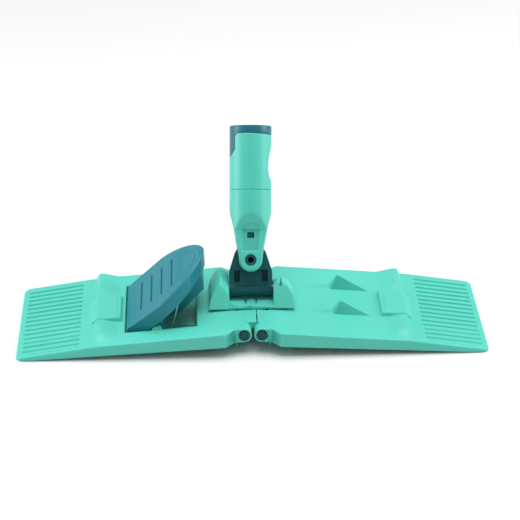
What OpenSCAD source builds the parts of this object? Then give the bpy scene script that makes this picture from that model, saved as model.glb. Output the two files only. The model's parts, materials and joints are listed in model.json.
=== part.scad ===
// Flat mop with folding wings: two hinged wings on a geared centre, a foot pedal that
// releases the latch, and a swivelling handle socket.
// +X right, +Y back, +Z up. Origin: centre of the overall box, on the floor.
// Each wing is drawn flat and square, then turned down about its own hinge pin.

/* [Wings] */
// Overall length with both wings flat
mop_l = 420; // [415:1:425]
// Depth of the wings, front to back
mop_w = 132; // [132:1:140]
// Angle by which each wing hangs below flat
droop = 3; // [1:0.5:4]
// Height of the plate's top beside the hinge
plate_z = 13.3; // [13.1:0.1:13.6]
// Wall thickness of the mouldings
wall = 2.4; // [2:0.1:3]
// Number of grooves across each tip pad
grooves = 16; // [8:1:16]
// Depth of each groove
groove_d = 1; // [0.5:0.1:1.4]

/* [Hinge] */
// Distance between the two hinge pins
pin_gap = 15.73; // [15.7:0.01:15.8]
// Height of the pins above the underside
hinge_z = 6.7; // [6.6:0.1:6.8]
// Radius of the hinge pins
pin_r = 3; // [2.8:0.1:3.1]
// Teeth on a full circle of each wing's gear sector
teeth = 14; // [14:1:14]

/* [Pedal] */
// Slope of the pedal against the wing
pedal_tilt = 37; // [36:1:38]
// Length of the pedal's plate
pedal_l = 91; // [88:1:92]
// Largest width of the pedal
pedal_w = 92; // [88:1:92]
// Depth of the pedal's rim
skirt = 12; // [9:1:13]
// Radius of the pedal's axle
paxle_r = 2.5; // [2:0.1:2.6]

/* [Bracket and yoke] */
// Length of the joint bracket
bracket_l = 77.6; // [77:0.2:78]
// Depth of the joint bracket
bracket_w = 44; // [42:1:44]
// Lean of the handle away from the vertical
lean = 27; // [20:1:35]
// Height of the yoke's axle above the wings' underside
axle_z = 23.9; // [23.7:0.1:24.5]
// Distance from the yoke's axle to the swivel pin
yoke_h = 25.2; // [25:0.1:26]
// Swing of the socket to the right of the yoke's middle
swing = 1.15; // [-2:0.05:2]
// Radius of the yoke's axle
axle_r = 3; // [2.5:0.1:3.2]

/* [Handle socket] */
// Outer radius of the socket
socket_r = 19; // [19:0.1:20]
// Height of the socket's top above the swivel pin
socket_h = 121; // [118:1:124]
// Bore radius for the handle pole
pole_r = 12.2; // [11:0.1:12.2]
// Travel of the release button
press = 0.9; // [0.5:0.1:0.9]

/* [Hidden] */
$fn = 64;
turquoise = [0.42, 0.82, 0.74];
petrol = [0.20, 0.45, 0.52];
dark_petrol = [0.08, 0.36, 0.36];
steel = [0.72, 0.74, 0.76];
run = 0.05;                      // running clearance on a radius
half_l = mop_l / 2;
half_w = mop_w / 2;
hx = pin_gap / 2;
knuckle_r = 6.9;                 // wing barrels round the pins
knuckle_y = half_w - 8;          // face of the knuckles, set back from the wing's face
finger_y = [28.3, 46];           // the upper finger that crosses the centre line
gear_y = [23.2, 28];             // gear sectors
link_y = 22.6;                   // half length of the centre link
plate_fall = 3.8 / 120;          // slope of the plate's top
crease_x = 118.5;
ridge_x = 137.5;
ridge_z = 14;
pad_x = 150;
pad_z = 8.5;
tip_z = 2.5;
win = [49.3, 113.5, 44.6];       // pedal window: inner end, outer end, half width
heel = [112.7, 11.5];            // pedal's heel edge in the wing
paxle = [85, 8];                 // pedal's axle in the wing
neck_r = 15.5;                   // yoke's round top
fork_w = 12.5;                   // half depth of the socket's fork
slot_w = 8;                      // half width of the fork's slot
slot_r = 19.4;                   // roof of the slot, round the swivel pin
lift = (half_l - hx) * sin(droop) + hinge_z * (cos(droop) - 1);
back = (yoke_h + socket_h) * sin(lean) + socket_r * cos(lean);
shift = (half_w - back) / 2;

function plate_top(x) = plate_z - (x - 20) * plate_fall;
function pad_top(x) = pad_z - (x - pad_x) * (pad_z - tip_z) / (half_l - pad_x);
function arc(r, a0, a1, n) = [for (i = [0:n]) let (a = a0 + (a1 - a0) * i / n) r * [cos(a), sin(a)]];

module on_floor() translate([0, shift, lift]) children();

// A wing's own flat frame: side 1 is the right wing, side -1 the left one
module on_wing(side)
  on_floor() mirror([side < 0 ? 1 : 0, 0, 0])
    translate([hx, 0, hinge_z]) rotate([0, droop, 0]) translate([-hx, 0, -hinge_z]) children();

// The handle's leaning frame: z runs along the handle from the yoke's axle
module on_handle(z = 0) on_floor() translate([0, 0, axle_z]) rotate([-lean, 0, 0])
  translate([0, 0, z]) children();

// The socket's own frame: z runs up the socket from the swivel pin
module on_socket() on_handle(yoke_h) rotate([0, swing, 0]) children();

// Shapes along Y, drawn in the X-Z plane
module along_y(y0, y1) translate([0, y1, 0]) rotate([90, 0, 0]) linear_extrude(y1 - y0) children();
module rod_y(r, y0, y1) translate([0, y1, 0]) rotate([90, 0, 0]) cylinder(r = r, h = y1 - y0);
module rod_x(r, x0, x1) translate([x0, 0, 0]) rotate([0, 90, 0]) cylinder(r = r, h = x1 - x0);
module at_pin() translate([hx, 0, hinge_z]) children();

// Side view of the wing: plate, shoulder ridge, falling tip pad
module wing_profile()
  polygon([[hx, 0], [hx, plate_z], [20, plate_z], [crease_x, plate_top(crease_x)],
           [ridge_x - 3, ridge_z], [ridge_x + 2, ridge_z], [144, 9], [pad_x, pad_z],
           [half_l, tip_z], [half_l, 0]]);

// Plan of the wing: bevelled in to the knuckle, round corners at the tip
module wing_plan() {
  c = 7;
  polygon(concat([[hx, -knuckle_y], [17, -knuckle_y], [25, -half_w]],
                 [for (p = arc(c, -90, 0, 8)) [half_l - c, c - half_w] + p],
                 [for (p = arc(c, 0, 90, 8)) [half_l - c, half_w - c] + p],
                 [[25, half_w], [17, knuckle_y], [hx, knuckle_y]]));
}

// One gear sector: stub teeth on a hub, turned by half a tooth on the right wing
module gear_sector(half_tooth) {
  step = 360 / teeth;
  cylinder(r = 6.55, h = gear_y[1] - gear_y[0]);
  for (k = [0:3 + (half_tooth ? 1 : 0)])
    rotate(180 + (k - (half_tooth ? 0.5 : 0)) * step)
      linear_extrude(gear_y[1] - gear_y[0])
        polygon([[6.2, -1.05], [hx, -0.68], [8.65, -0.34], [8.65, 0.34], [hx, 0.68], [6.2, 1.05]]);
}

// Knuckles, finger, gear sectors and the plate's inner edge. finger is -1 where the wing's
// finger stands at the front and 1 where it stands at the back.
module wing_centre(finger, half_tooth) {
  for (end = [-1, 1]) {
    y0 = end < 0 ? -knuckle_y : finger_y[0];
    y1 = end < 0 ? -finger_y[0] : knuckle_y;
    g0 = end < 0 ? -gear_y[1] : gear_y[0];
    f0 = end < 0 ? -finger_y[0] - 1 : gear_y[0];
    reach = end == finger ? -3.85 : 4.2;
    difference() {
      intersection() {
        at_pin() rod_y(knuckle_r, y0, y1);
        translate([-10, y0, 0]) cube([40, y1 - y0, 20]);
      }
      if (end != finger)
        translate([-1, end < 0 ? -finger_y[1] - 0.2 : finger_y[0] - 1, 6.5])
          cube([5.2, finger_y[1] - finger_y[0] + 1.2, 9]);
    }
    at_pin() translate([0, g0 + (gear_y[1] - gear_y[0]), 0]) rotate([90, 0, 0])
      gear_sector(half_tooth);
    translate([reach, f0, 12.2]) cube([hx - reach + 1, finger_y[0] + 1 - gear_y[0], plate_z - 12.2]);
    translate([reach, end < 0 ? -finger_y[1] : finger_y[0], 7.1])
      cube([hx - reach + 1, finger_y[1] - finger_y[0], plate_z - 7.1]);
  }
}

// Hollow underside, open below, with a grid of ribs
module wing_hollow(rib_x, rib_y) difference() {
  along_y(wall - half_w, half_w - wall)
    polygon([[27, -1], [27, plate_top(27) - wall], [crease_x, plate_top(crease_x) - wall],
             [ridge_x - 2, ridge_z - wall - 1], [ridge_x + 1, ridge_z - wall - 1], [143, 5.5],
             [186, pad_top(186) - wall - groove_d], [186, -1]]);
  for (x = rib_x) translate([x - 0.9, -half_w, -2]) cube([1.8, mop_w, 20]);
  for (y = rib_y) translate([0, y - 0.9, -2]) cube([half_l, 1.8, 20]);
}

module tip_grooves() {
  pitch = 118.6 / (grooves - 1);
  fall = atan((pad_z - tip_z) / (half_l - pad_x));
  for (i = [0:grooves - 1]) {
    y = (i - (grooves - 1) / 2) * pitch;
    x1 = abs(y) > 57 ? 200 : 203;
    translate([154, y, pad_top(154) - groove_d]) rotate([0, fall, 0])
      translate([0, -1.4, 0]) cube([x1 - 154, 2.8, 4]);
  }
}

module wing_base(finger, half_tooth, rib_x, rib_y) difference() {
  union() {
    intersection() {
      along_y(-half_w, half_w) wing_profile();
      translate([0, 0, -1]) linear_extrude(20) wing_plan();
    }
    wing_centre(finger, half_tooth);
    along_y(-22, 20.5)
      polygon([[117, 9], [117, 13.4], [118, 14], [139, 14], [147, 8.7], [147, 7]]);
  }
  at_pin() rod_y(pin_r + run, -knuckle_y - 1, knuckle_y + 1);
  for (y = [-knuckle_y - 1, knuckle_y - 2.3]) at_pin() rod_y(5.3, y, y + 3.3);
  at_pin() rod_y(knuckle_r, -link_y - 0.3, link_y + 0.3);
  wing_hollow(rib_x, rib_y);
  tip_grooves();
}

module left_wing() color(turquoise) on_wing(-1) difference() {
  union() {
    difference() {
      union() {
        wing_base(-1, false, [37, 62, 87, 118, 146, 166], [-34, -11.5, 11.5, 34]);
        translate([win[0] - wall, -win[2] - wall, 0])
          cube([win[1] - win[0] + 2 * wall, 2 * (win[2] + wall), 9]);
      }
      translate([win[0], -win[2], 1.8]) cube([win[1] - win[0], 2 * win[2], 20]);
    }
    for (y = [-win[2] - 0.5, 40]) translate([paxle[0] - 4.5, y, 0]) cube([9, win[2] + 0.5 - 40, 13.5]);
  }
  translate([paxle[0], 0, paxle[1]]) rod_y(paxle_r + 0.02, -win[2] - 0.3, win[2] + 0.3);
}

module gusset(y)
  hull() {
    translate([73.6, y - 3, 10]) cube([0.4, 12, 0.5]);
    translate([111, y - 3, 9]) cube([0.4, 0.8, 0.5]);
    translate([79.5, y, 24]) cube([0.5, 0.5, 0.5]);
  }

module right_wing() color(turquoise) on_wing(1) {
  wing_base(1, true, [37, 62, 87, 112, 129, 146, 166], [-44, -22, 0, 22, 44]);
  gusset(28);
  gusset(-20);
}

// Ear with its slanted outer end; side 1 is the right ear, and the left one stands taller
module ear(side) mirror([side < 0 ? 1 : 0, 0, 0]) difference() {
  hull() {
    translate([19.9, -bracket_w / 2, 13.7]) cube([bracket_l / 2 - 19.9, bracket_w, 1.5]);
    translate([0, 0, axle_z]) rod_x(9.8, 19.9, 30);
    translate([19.9, -bracket_w / 2 + 1, 22]) cube([6, 2, 6]);
    translate([19.9, bracket_w / 2 - 3, 18]) cube([6, 2, 4]);
    if (side < 0) translate([23, 6, 30]) cube([8, 9, 8]);
  }
  if (side > 0) translate([23.5, -9, 26]) cube([3.6, 40, 20]);
}

module joint_bracket() color(turquoise) on_floor() difference() {
  union() {
    ear(1);
    ear(-1);
    translate([-20, -bracket_w / 2, 13.7]) cube([40, bracket_w, 1.9]);
    translate([-20, -bracket_w / 2, 13.7]) cube([40, 3, 6.3]);
    translate([-3, -bracket_w / 2 - 1, 14]) cube([4, 1.5, 4]);
    for (y = [-14, 14]) translate([0, y, 9]) cylinder(r = 3.2, h = 5);
    translate([-1.5, -9, 15]) cube([3, 4, 1]);
  }
  translate([0, 0, axle_z]) rod_x(axle_r + run, -24, 24);
  for (x = [-5, 4.5]) translate([x - 1, -11, 13]) cube([2, 20, 4]);
  for (y = [-14, 14]) translate([0, y, 8]) cylinder(r = 1.5, h = 6);
}

module hinge_link() color(turquoise) on_floor() difference() {
  union() {
    for (side = [-1, 1]) translate([side * hx, 0, hinge_z]) rod_y(6.5, -link_y, link_y);
    translate([-hx, -link_y, hinge_z - 2]) cube([pin_gap, 2 * link_y, 8.5]);
  }
  for (side = [-1, 1]) translate([side * hx, 0, hinge_z]) rod_y(pin_r + 0.02, -30, 30);
  for (y = [-14, 14]) translate([0, y, 9]) cylinder(r = 3.25, h = 6);
  for (y = [-14, 14]) translate([0, y, 0]) cylinder(r = 1.7, h = 10);
  for (y = [-14, 14]) translate([0, y, 0]) cylinder(r = 3.2, h = hinge_z + 0.2);
}

module hinge_pin(side) color(petrol) on_floor() translate([side * hx, 0, hinge_z]) {
  rod_y(pin_r, -knuckle_y + 2, knuckle_y - 0.4);
  rod_y(4.75, -knuckle_y - 0.2, -knuckle_y + 2.2);
}
module left_hinge_pin() hinge_pin(-1);
module right_hinge_pin() hinge_pin(1);

module hinge_pin_clips() color(steel) on_floor()
  for (side = [-1, 1]) translate([side * hx, 0, hinge_z]) difference() {
    rod_y(4.9, knuckle_y - 2.1, knuckle_y - 0.9);
    rod_y(pin_r + 0.01, knuckle_y - 3, knuckle_y);
  }

module bracket_screws() color(steel) on_floor()
  for (y = [-14, 14]) translate([0, y, hinge_z - 1.8]) difference() {
    union() {
      cylinder(r = 3, h = 1.9);
      cylinder(r = 1.48, h = 8.8);
    }
    translate([0, 0, -1]) cylinder(r = 1.4, h = 2.2, $fn = 6);
  }

// The pedal's own frame: x runs up its slope from the heel, z stands off its face
module on_pedal() on_wing(-1) translate([heel[0], 0, heel[1]])
  rotate([0, pedal_tilt, 0]) mirror([1, 0, 0]) children();

// Outline: sides that widen a little, then a full round end; inset shrinks it
module pedal_outline(inset = 0) {
  s0 = 41;
  n = 24;
  h0 = 40.5 - inset;
  h1 = pedal_w / 2 - inset;
  a = pedal_l - s0 - inset;
  p = 1.65;
  end = [for (i = [0:n]) let (t = 90 * i / n)
         [s0 + a * pow(sin(t), 2 / p), h1 * pow(cos(t), 2 / p)]];
  polygon(concat([[inset, -h0], [inset, h0]], end,
                 [for (i = [1:n]) [end[n - i][0], -end[n - i][1]]]));
}

// Height, in the wing, of a point 2 mm below the pedal's upper face
function under_plate(x) = heel[1] + (heel[0] - x) * tan(pedal_tilt) - 2 / cos(pedal_tilt);

// The outline swept straight down in the wing from the face, between two depths off the face
module pedal_sweep(inset, from, to)
  on_pedal() multmatrix([[1, 0, tan(pedal_tilt), 0], [0, 1, 0, 0], [0, 0, 1, 0], [0, 0, 0, 1]])
    translate([0, 0, -to]) linear_extrude(to - from) pedal_outline(inset);

module pedal() color(petrol) {
  difference() {
    intersection() {
      pedal_sweep(0, 0, skirt);
      on_wing(-1) translate([0, -60, 4]) cube([130, 120, 100]);
    }
    pedal_sweep(wall, 2, skirt + 1);
    on_pedal() for (s = [18, 30, 42, 54]) translate([s - 1, -26, -1.2]) cube([2, 52, 3]);
  }
  on_wing(-1) difference() {
    union() {
      along_y(-17, 17)
        polygon([[41, 34], [41, 43], [46, under_plate(46)], [90, under_plate(90)], [86, 17],
                 [79, 11.5], [68, 10]]);
      for (y = [-39.5, 34]) along_y(y, y + 5.5)
        polygon(concat([[78, under_plate(78) + 0.8], [93, under_plate(93) + 0.8]],
                       [for (p = arc(5.8, 0, -180, 12)) paxle + p], [[78, 18]]));
    }
    translate([paxle[0], 0, paxle[1]]) rod_y(paxle_r + run, -50, 50);
    along_y(-14.5, 14.5) polygon([[43.4, 36], [43.4, 70], [90, 40], [84, 19], [78, 13.9], [69, 12.6]]);
  }
}

module pedal_axle() color(steel) on_wing(-1) translate([paxle[0], 0, paxle[1]])
  rod_y(paxle_r, -win[2] - 0.2, win[2] + 0.2);

module pedal_axle_clips() color(steel) on_wing(-1) translate([paxle[0], 0, paxle[1]])
  for (y = [-33.6, 32.5]) difference() {
    rod_y(4.8, y, y + 1.1);
    rod_y(paxle_r + 0.01, y - 1, y + 2);
  }

// Sweeps a round wire of eight sides along a list of points in planes of constant y
module wire(points, r, sides = 8) {
  n = len(points);
  function dir(i) = let (d = points[min(i + 1, n - 1)] - points[max(i - 1, 0)]) d / norm(d);
  rings = [for (i = [0:n - 1]) let (t = dir(i), u0 = cross(t, [0.06, 1, 0.03]), u = u0 / norm(u0),
           v = cross(t, u)) for (k = [0:sides - 1]) let (a = 360 * k / sides)
           points[i] + r * (cos(a) * u + sin(a) * v)];
  function at(i, k) = i * sides + k % sides;
  polyhedron(rings, concat(
    [[for (k = [0:sides - 1]) k]],
    [[for (k = [sides - 1:-1:0]) at(n - 1, k)]],
    [for (i = [0:n - 2], k = [0:sides - 1]) [at(i, k), at(i + 1, k), at(i + 1, k + 1), at(i, k + 1)]]));
}

// Torsion springs: four turns round the axle, one leg on the wing and one under the pedal
module pedal_springs() color(steel) on_wing(-1)
  for (side = [-1, 1]) {
    turns = 4;
    steps = 14;
    r = 4.2;
    coil = [for (i = [0:turns * steps]) let (a = 270 + 360 * i / steps)
            [paxle[0] + r * cos(a), side * (24 + 7.5 * i / (turns * steps)), paxle[1] + r * sin(a)]];
    wire(concat([[52, side * 24, 2.7]], coil, [[72, side * 31.5, 5.5], [64, side * 31.5, 30]]), 0.7);
  }

// Yoke: a trestle with a round top, feet round the axle and a recess in its front
module yoke() color(dark_petrol) on_handle() difference() {
  union() {
    along_y(-7.2, 7.2)
        polygon(concat([[-19.4, -3.4], [-19.4, 15]],
                       [for (p = arc(neck_r, 155, 25, 24)) [0, yoke_h] + p], [[19.4, 15], [19.4, -3.4]]));
    for (x = [-19.4, 15.6]) rod_x(7.8, x, x + 3.8);
    rod_x(7.2, -19.4, 19.4);
  }
  rod_x(axle_r - 0.01, -21, 21);
  translate([0, 0, yoke_h]) rod_y(5.5 + 0.01, -20, 20);
  for (x = [-15.2, 10]) translate([x, -8, 5.6]) cube([5.2, 16, 10.4]);
  translate([-15.2, -8, 0.8]) cube([30.4, 3, 15.2]);
  translate([-15.2, 5, 0.8]) cube([30.4, 3, 15.2]);
}

module yoke_axle() color(steel) on_handle() rod_x(axle_r, -23.3, 23.3);

module yoke_pin() color(dark_petrol) on_handle(yoke_h) difference() {
  rod_y(5.5, -fork_w - 0.1, fork_w - 0.2);
  rod_y(2.65, -fork_w - 1, 9);
}

module yoke_pin_clip() color(steel) on_handle(yoke_h) difference() {
  rod_y(7.6, fork_w - 1.7, fork_w - 0.5);
  rod_y(5.5 + 0.01, fork_w - 3, fork_w + 3);
}

module friction_washers() color("dimgray") on_handle(yoke_h)
  for (y = [-7.95, 7.25]) difference() {
    rod_y(10.6, y, y + 0.7);
    rod_y(5.5 + 0.02, y - 1, y + 2);
  }

// Lower half of the socket: round above, flattened to a fork below
module socket_fork() color(turquoise) on_socket() difference() {
  intersection() {
    translate([0, 0, -12]) cylinder(r = socket_r, h = 75);
    along_y(-20, 20)
      polygon(concat([[-19, 63], [-19, 43], [-15.7, 31], [-11.65, 9]],
                     arc(10.7, 180, 360, 24), [[11.65, 9], [15.7, 31], [19, 43], [19, 63]]));
    rotate([0, 0, 90]) along_y(-20, 20)
      polygon([[-19, 63], [-19, 43], [-fork_w, 27], [-fork_w, -12], [fork_w, -12], [fork_w, 27],
               [19, 43], [19, 63]]);
  }
  rod_y(slot_r, -slot_w, slot_w);
  rod_y(5.5 + run, -20, 20);
  translate([0, 0, 46]) cylinder(r = 16, h = 30);
  translate([-9, -20, 7.5]) cube([18, 20 - 11, 20]);
  translate([-3.15, -20, 19.9]) cube([6.3, 20 - 1, 5.2]);
  rod_y(8, fork_w - 1.8, 20);
}

module leaf_arch(z0, z1) {
  h = 0.62;
  rise = [for (i = [0:12]) let (f = i / 12) [h * sin(180 * f), z0 + (z1 - z0) * f]];
  translate([0, 3, 0]) along_y(-6, 0)
    polygon(concat(rise, [for (i = [12:-1:0]) rise[i] + [0.22, 0]]));
}

// A slot with round ends through the socket's right wall
module oval_x(w, z0, z1, x0, x1) {
  for (z = [z0 + w / 2, z1 - w / 2]) translate([0, 0, z]) rod_x(w / 2, x0, x1);
  translate([x0, -w / 2, z0 + w / 2]) cube([x1 - x0, w, z1 - z0 - w]);
}

module tongue_wedge(half_a, z0, z1)
  translate([0, 0, z0]) linear_extrude(z1 - z0)
    polygon(concat([[0, 0]], [for (i = [-3:3]) let (a = 180 + half_a * i / 3) 40 * [cos(a), sin(a)]]));

// Upper half of the socket: a sleeve, cut away for the liner's tongue and the button
module socket_shell() color(turquoise) on_socket() difference() {
  translate([0, 0, 63.15]) cylinder(r = socket_r, h = 49.85);
  translate([0, 0, 60]) cylinder(r = 16, h = 60);
  tongue_wedge(40, 92.2, 120);
  oval_x(20.8, 71.9, 102.9, 10, 25);
}

// Liner that holds the pole, with its collar on top and a tongue down the left side
module pole_liner() color(petrol) on_socket() difference() {
  union() {
    translate([0, 0, 46.3]) cylinder(r = 15.8, h = socket_h - 46.3);
    translate([0, 0, 113.2]) cylinder(r = socket_r, h = socket_h - 113.2);
    intersection() {
      translate([0, 0, 92.5]) cylinder(r = socket_r, h = 22);
      tongue_wedge(39, 92.5, 114);
    }
  }
  translate([0, 0, 40]) cylinder(r = pole_r, h = 90);
  translate([12.95, -6.2, 70.4]) cube([8, 12.4, 34]);
  translate([0, 0, 87.4]) rod_x(2.3, 8, 20);
}

module release_button() color(petrol) on_socket() {
  intersection() {
    translate([0, 0, 70.6]) cylinder(r = 15.7, h = 33.6);
    translate([13.9, -6, 70.6]) cube([4, 12, 33.6]);
  }
  translate([0, 0, 87.4]) rod_x(2, 12.4, 14.2);
}

module button_spring() color(steel) on_socket() translate([12.98, 0, 0])
  for (z = [[71.5, 84], [91, 103.3]]) leaf_arch(z[0], z[1]);

left_wing();
right_wing();
joint_bracket();
hinge_link();
left_hinge_pin();
right_hinge_pin();
hinge_pin_clips();
bracket_screws();
pedal();
pedal_axle();
pedal_axle_clips();
pedal_springs();
yoke();
yoke_axle();
yoke_pin();
yoke_pin_clip();
friction_washers();
socket_fork();
socket_shell();
pole_liner();
release_button();
button_spring();
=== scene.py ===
import json
import math

import bmesh
import bpy
import numpy as np
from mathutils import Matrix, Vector


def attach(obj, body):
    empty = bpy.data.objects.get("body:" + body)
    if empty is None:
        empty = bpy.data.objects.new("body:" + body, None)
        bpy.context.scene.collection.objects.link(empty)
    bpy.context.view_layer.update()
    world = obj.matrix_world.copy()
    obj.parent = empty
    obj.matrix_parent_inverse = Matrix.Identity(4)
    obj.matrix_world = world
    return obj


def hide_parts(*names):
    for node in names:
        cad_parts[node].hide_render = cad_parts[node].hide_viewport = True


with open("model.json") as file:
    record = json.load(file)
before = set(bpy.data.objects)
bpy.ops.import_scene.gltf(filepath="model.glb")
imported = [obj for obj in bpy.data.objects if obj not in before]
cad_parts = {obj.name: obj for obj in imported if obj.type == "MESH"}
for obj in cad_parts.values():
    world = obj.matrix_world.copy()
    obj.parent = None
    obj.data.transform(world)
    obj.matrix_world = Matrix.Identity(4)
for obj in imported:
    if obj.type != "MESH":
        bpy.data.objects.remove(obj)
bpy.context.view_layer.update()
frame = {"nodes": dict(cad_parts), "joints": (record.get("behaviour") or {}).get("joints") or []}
joints = {j["name"]: j for j in frame["joints"]}


# ---- Right wing --------------------------------------------------------------------------------
# One side of the folding plate: a ribbed shell of turquoise polypropylene, injection moulded with
# its satin grain in the tool. It turns on the right hinge pin and carries two pointed gussets.
# Sizes are in millimetres in the wing's own flat frame: x outward from the mop's middle, y back,
# z up from the flat underside.

PIN_X, PIN_Z = 7.865, 6.7
DROOP = math.radians(3)
HALF_L, HALF_W = 210.0, 66.0
KNUCKLE_Y = 58.0
PLATE_Z, PLATE_FALL = 13.3, 3.8 / 120
PAD_X, PAD_Z, TIP_Z = 150.0, 8.5, 2.5
WALL = 2.4
RIB_HALF = 0.9


def wing_place(points, side):
    """Turns points of the flat wing down by the droop about its pin, and mirrors them for side -1."""
    pin = np.array(joints["right_wing_fold" if side > 0 else "left_wing_fold"]["pos_m"]) * 1000
    x, y, z = points[..., 0] - PIN_X, points[..., 1], points[..., 2] - PIN_Z
    along = x * math.cos(DROOP) + z * math.sin(DROOP)
    up = z * math.cos(DROOP) - x * math.sin(DROOP)
    return np.stack([pin[0] + side * along, pin[1] + y, pin[2] + up], -1)


def ease(t):
    """Smooth step: 0 below 0, 1 above 1, and 3t^2 - 2t^3 between."""
    t = np.clip(t, 0, 1)
    return t * t * (3 - 2 * t)


def fillet(d, r):
    """Drop of a rounded edge of radius r at distance d inside the outline: r - sqrt(r^2 - (r-d)^2)."""
    d = np.clip(d, 0, r)
    return r - np.sqrt(np.maximum(r * r - (r - d) ** 2, 0))


def half_width(x):
    """Half the wing's depth at x: the knuckle's, a 45 degree bevel, full, then a round corner."""
    w = np.clip(KNUCKLE_Y + (x - 17), KNUCKLE_Y, HALF_W)
    q = np.clip(x - (HALF_L - 7), 0, 7)
    return np.minimum(w, HALF_W - 7 + np.sqrt(49 - q * q))


def outline_distance(x, y):
    """Distance inside the wing's plan: the least of the round-cornered box's and the bevel's."""
    qx, qy = x - (HALF_L - 7), np.abs(y) - (HALF_W - 7)
    outside = np.hypot(np.maximum(qx, 0), np.maximum(qy, 0)) + np.minimum(np.maximum(qx, qy), 0)
    bevel = np.maximum(KNUCKLE_Y - np.abs(y), ((x - 17) - (np.abs(y) - KNUCKLE_Y)) / math.sqrt(2))
    return np.minimum(7 - outside, bevel)


def plate_level(x):
    """The plate's even fall, easing down by a small step to the tip pad's steeper fall."""
    plate = PLATE_Z - np.maximum(x - 20, 0) * PLATE_FALL
    pad = PAD_Z - (x - PAD_X) * (PAD_Z - TIP_Z) / (HALF_L - PAD_X)
    return plate + (pad - plate) * ease((x - 140) / 4)


def shoulder(x, y):
    """Height of the ridge over the plate: a ramp to x = 136 and a steep fall at 143, times a wave
    along y that is high at the back edge, low beside the block and dies out at the front edge."""
    ramp = ease((x - 119.4) / 33 * 2) * 0.35 + 0.65 * np.clip((x - 119.4) / 16, 0, 1)
    fall = 1 - ease((x - 138.6) / 3.8)
    back = 1.4 + 3.2 * ease((y - 22) / 18)
    front = 0.1 + 4.5 * ease((y + 66) / 20) - 1.2 * ease((y + 40) / 15)
    return np.minimum(ramp, fall) * np.where(y > 0, back, front)


def block(x, y):
    """Top of the raised block: flat at 14, sides rounded over 1.6 mm, sloping down past x = 139."""
    inside = np.minimum(np.minimum(x - 116.6, 21 - y), y + 23.5)
    outer = 14 - np.maximum(x - 139.3, 0) * 0.78
    line = np.minimum(np.abs(x - 120.6) + 9 * (y > 14.5) + 9 * (y < -21),
                      np.abs(y + 20.6) + 9 * (x < 120.4) + 9 * (x > 132))
    return outer - fillet(inside, 1.6) * 2.6 - 9 * (inside < 0) - 0.5 * np.exp(-(line / 0.45) ** 2)


def grooves(x, y):
    """Depth of the 16 anti-slip grooves: rounded channels on a 7.9 mm pitch with round ends."""
    pitch = 118.6 / 15
    off = np.abs((y / pitch + 0.5) % 1 - 0.5) * pitch
    off = np.where(np.abs(y) > 62, 9, off)
    end = np.where(np.abs(y) > 57, 199.5, 203.5)
    past = np.maximum(np.maximum(154.4 - x, x - end), 0)
    return 1.5 * ease((1.85 - np.hypot(off, past)) / 0.9)


def wing_top(x, y):
    """Finished upper surface: plate, shoulder and block, less the grooves and the edge rounding."""
    z = np.maximum(plate_level(x) + shoulder(x, y), np.where((x > 116) & (x < 147.5), block(x, y), 0))
    soft = fillet(outline_distance(x, y), 1.5) * (0.45 + 0.55 * ease((x - 14.8) / 8)) * (x > 14.7)
    return z - grooves(x, y) - soft


def ribbed_underside(x, y, rib_x, rib_y):
    """Hollow under the plate, one wall below the top, with ribs 1.8 mm thick down to z = 0."""
    roof = plate_level(x) + 0.8 * shoulder(x, y) - WALL - 1.0 * ease((x - 148) / 4)
    solid = outline_distance(x, y) < WALL
    solid |= (x < 27) | (x > 186)
    for at in rib_x:
        solid |= np.abs(x - at) < RIB_HALF
    for at in rib_y:
        solid |= np.abs(y - at) < RIB_HALF
    return np.where(solid, 0, np.maximum(roof, 0))


def stations(*spans):
    """Grid lines through spans of (start, end, step), each end met exactly, with no line twice."""
    lines = [np.linspace(a, b, max(2, int(round((b - a) / step)) + 1)) for a, b, step in spans]
    lines = np.sort(np.concatenate(lines))
    return lines[np.append(True, np.diff(lines) > 0.04)]


def slab(top, low, keep, wrap=False, under=True):
    """Closed sheet between two grids of points: keep says which cells are solid, and a wall joins
    the two grids along every edge between a solid cell and an empty one. With wrap, the last
    column lies on the first, as round a sleeve. Cells outside under get no lower face, where the
    slab is one half of a solid."""
    rows, cols = top.shape[:2]
    index = np.arange(rows * cols).reshape(rows, cols)
    corner = [index[:-1, :-1], index[1:, :-1], index[1:, 1:], index[:-1, 1:]]
    pad = np.pad(keep, 1)
    if wrap:
        pad[1:-1, 0], pad[1:-1, -1] = keep[:, -1], keep[:, 0]
    beside = [pad[1:-1, :-2], pad[2:, 1:-1], pad[1:-1, 2:], pad[:-2, 1:-1]]
    count = rows * cols
    faces = [np.stack(corner, -1)[keep], np.stack(corner[::-1], -1)[keep & under] + count]
    for k in range(4):
        edge = keep & ~beside[k]
        a, b = corner[k][edge], corner[(k + 1) % 4][edge]
        faces.append(np.stack([b, a, a + count, b + count], -1))
    faces = np.concatenate(faces)
    used, faces = np.unique(faces, return_inverse=True)
    return np.concatenate([top.reshape(-1, 3), low.reshape(-1, 3)])[used], faces.reshape(-1, 4).tolist()


def tube(rings, closed=False):
    """Skin over rings of points, one ring a row. The ends get flat caps, or closed joins them."""
    rows, cols = rings.shape[:2]
    r = np.arange(rows if closed else rows - 1)[:, None]
    c = np.arange(cols)[None, :]
    r1, c1 = (r + 1) % rows, (c + 1) % cols
    faces = np.stack([r * cols + c, r1 * cols + c, r1 * cols + c1, r * cols + c1], -1).reshape(-1, 4)
    faces = faces.tolist()
    if not closed:
        faces += [list(range(cols)), list(range((rows - 1) * cols, rows * cols))[::-1]]
    return rings.reshape(-1, 3), faces


def outward(points, faces):
    """Turns a closed part's faces outward. The cones from the origin to its faces add up to its
    volume, and a negative sum means that it is inside out."""
    fan = np.array([(face[0], face[k], face[k + 1]) for face in faces for k in range(1, len(face) - 1)])
    a, b, c = (points[fan[:, k]] for k in range(3))
    return [face[::-1] for face in faces] if np.sum(a * np.cross(b, c)) < 0 else faces


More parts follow.
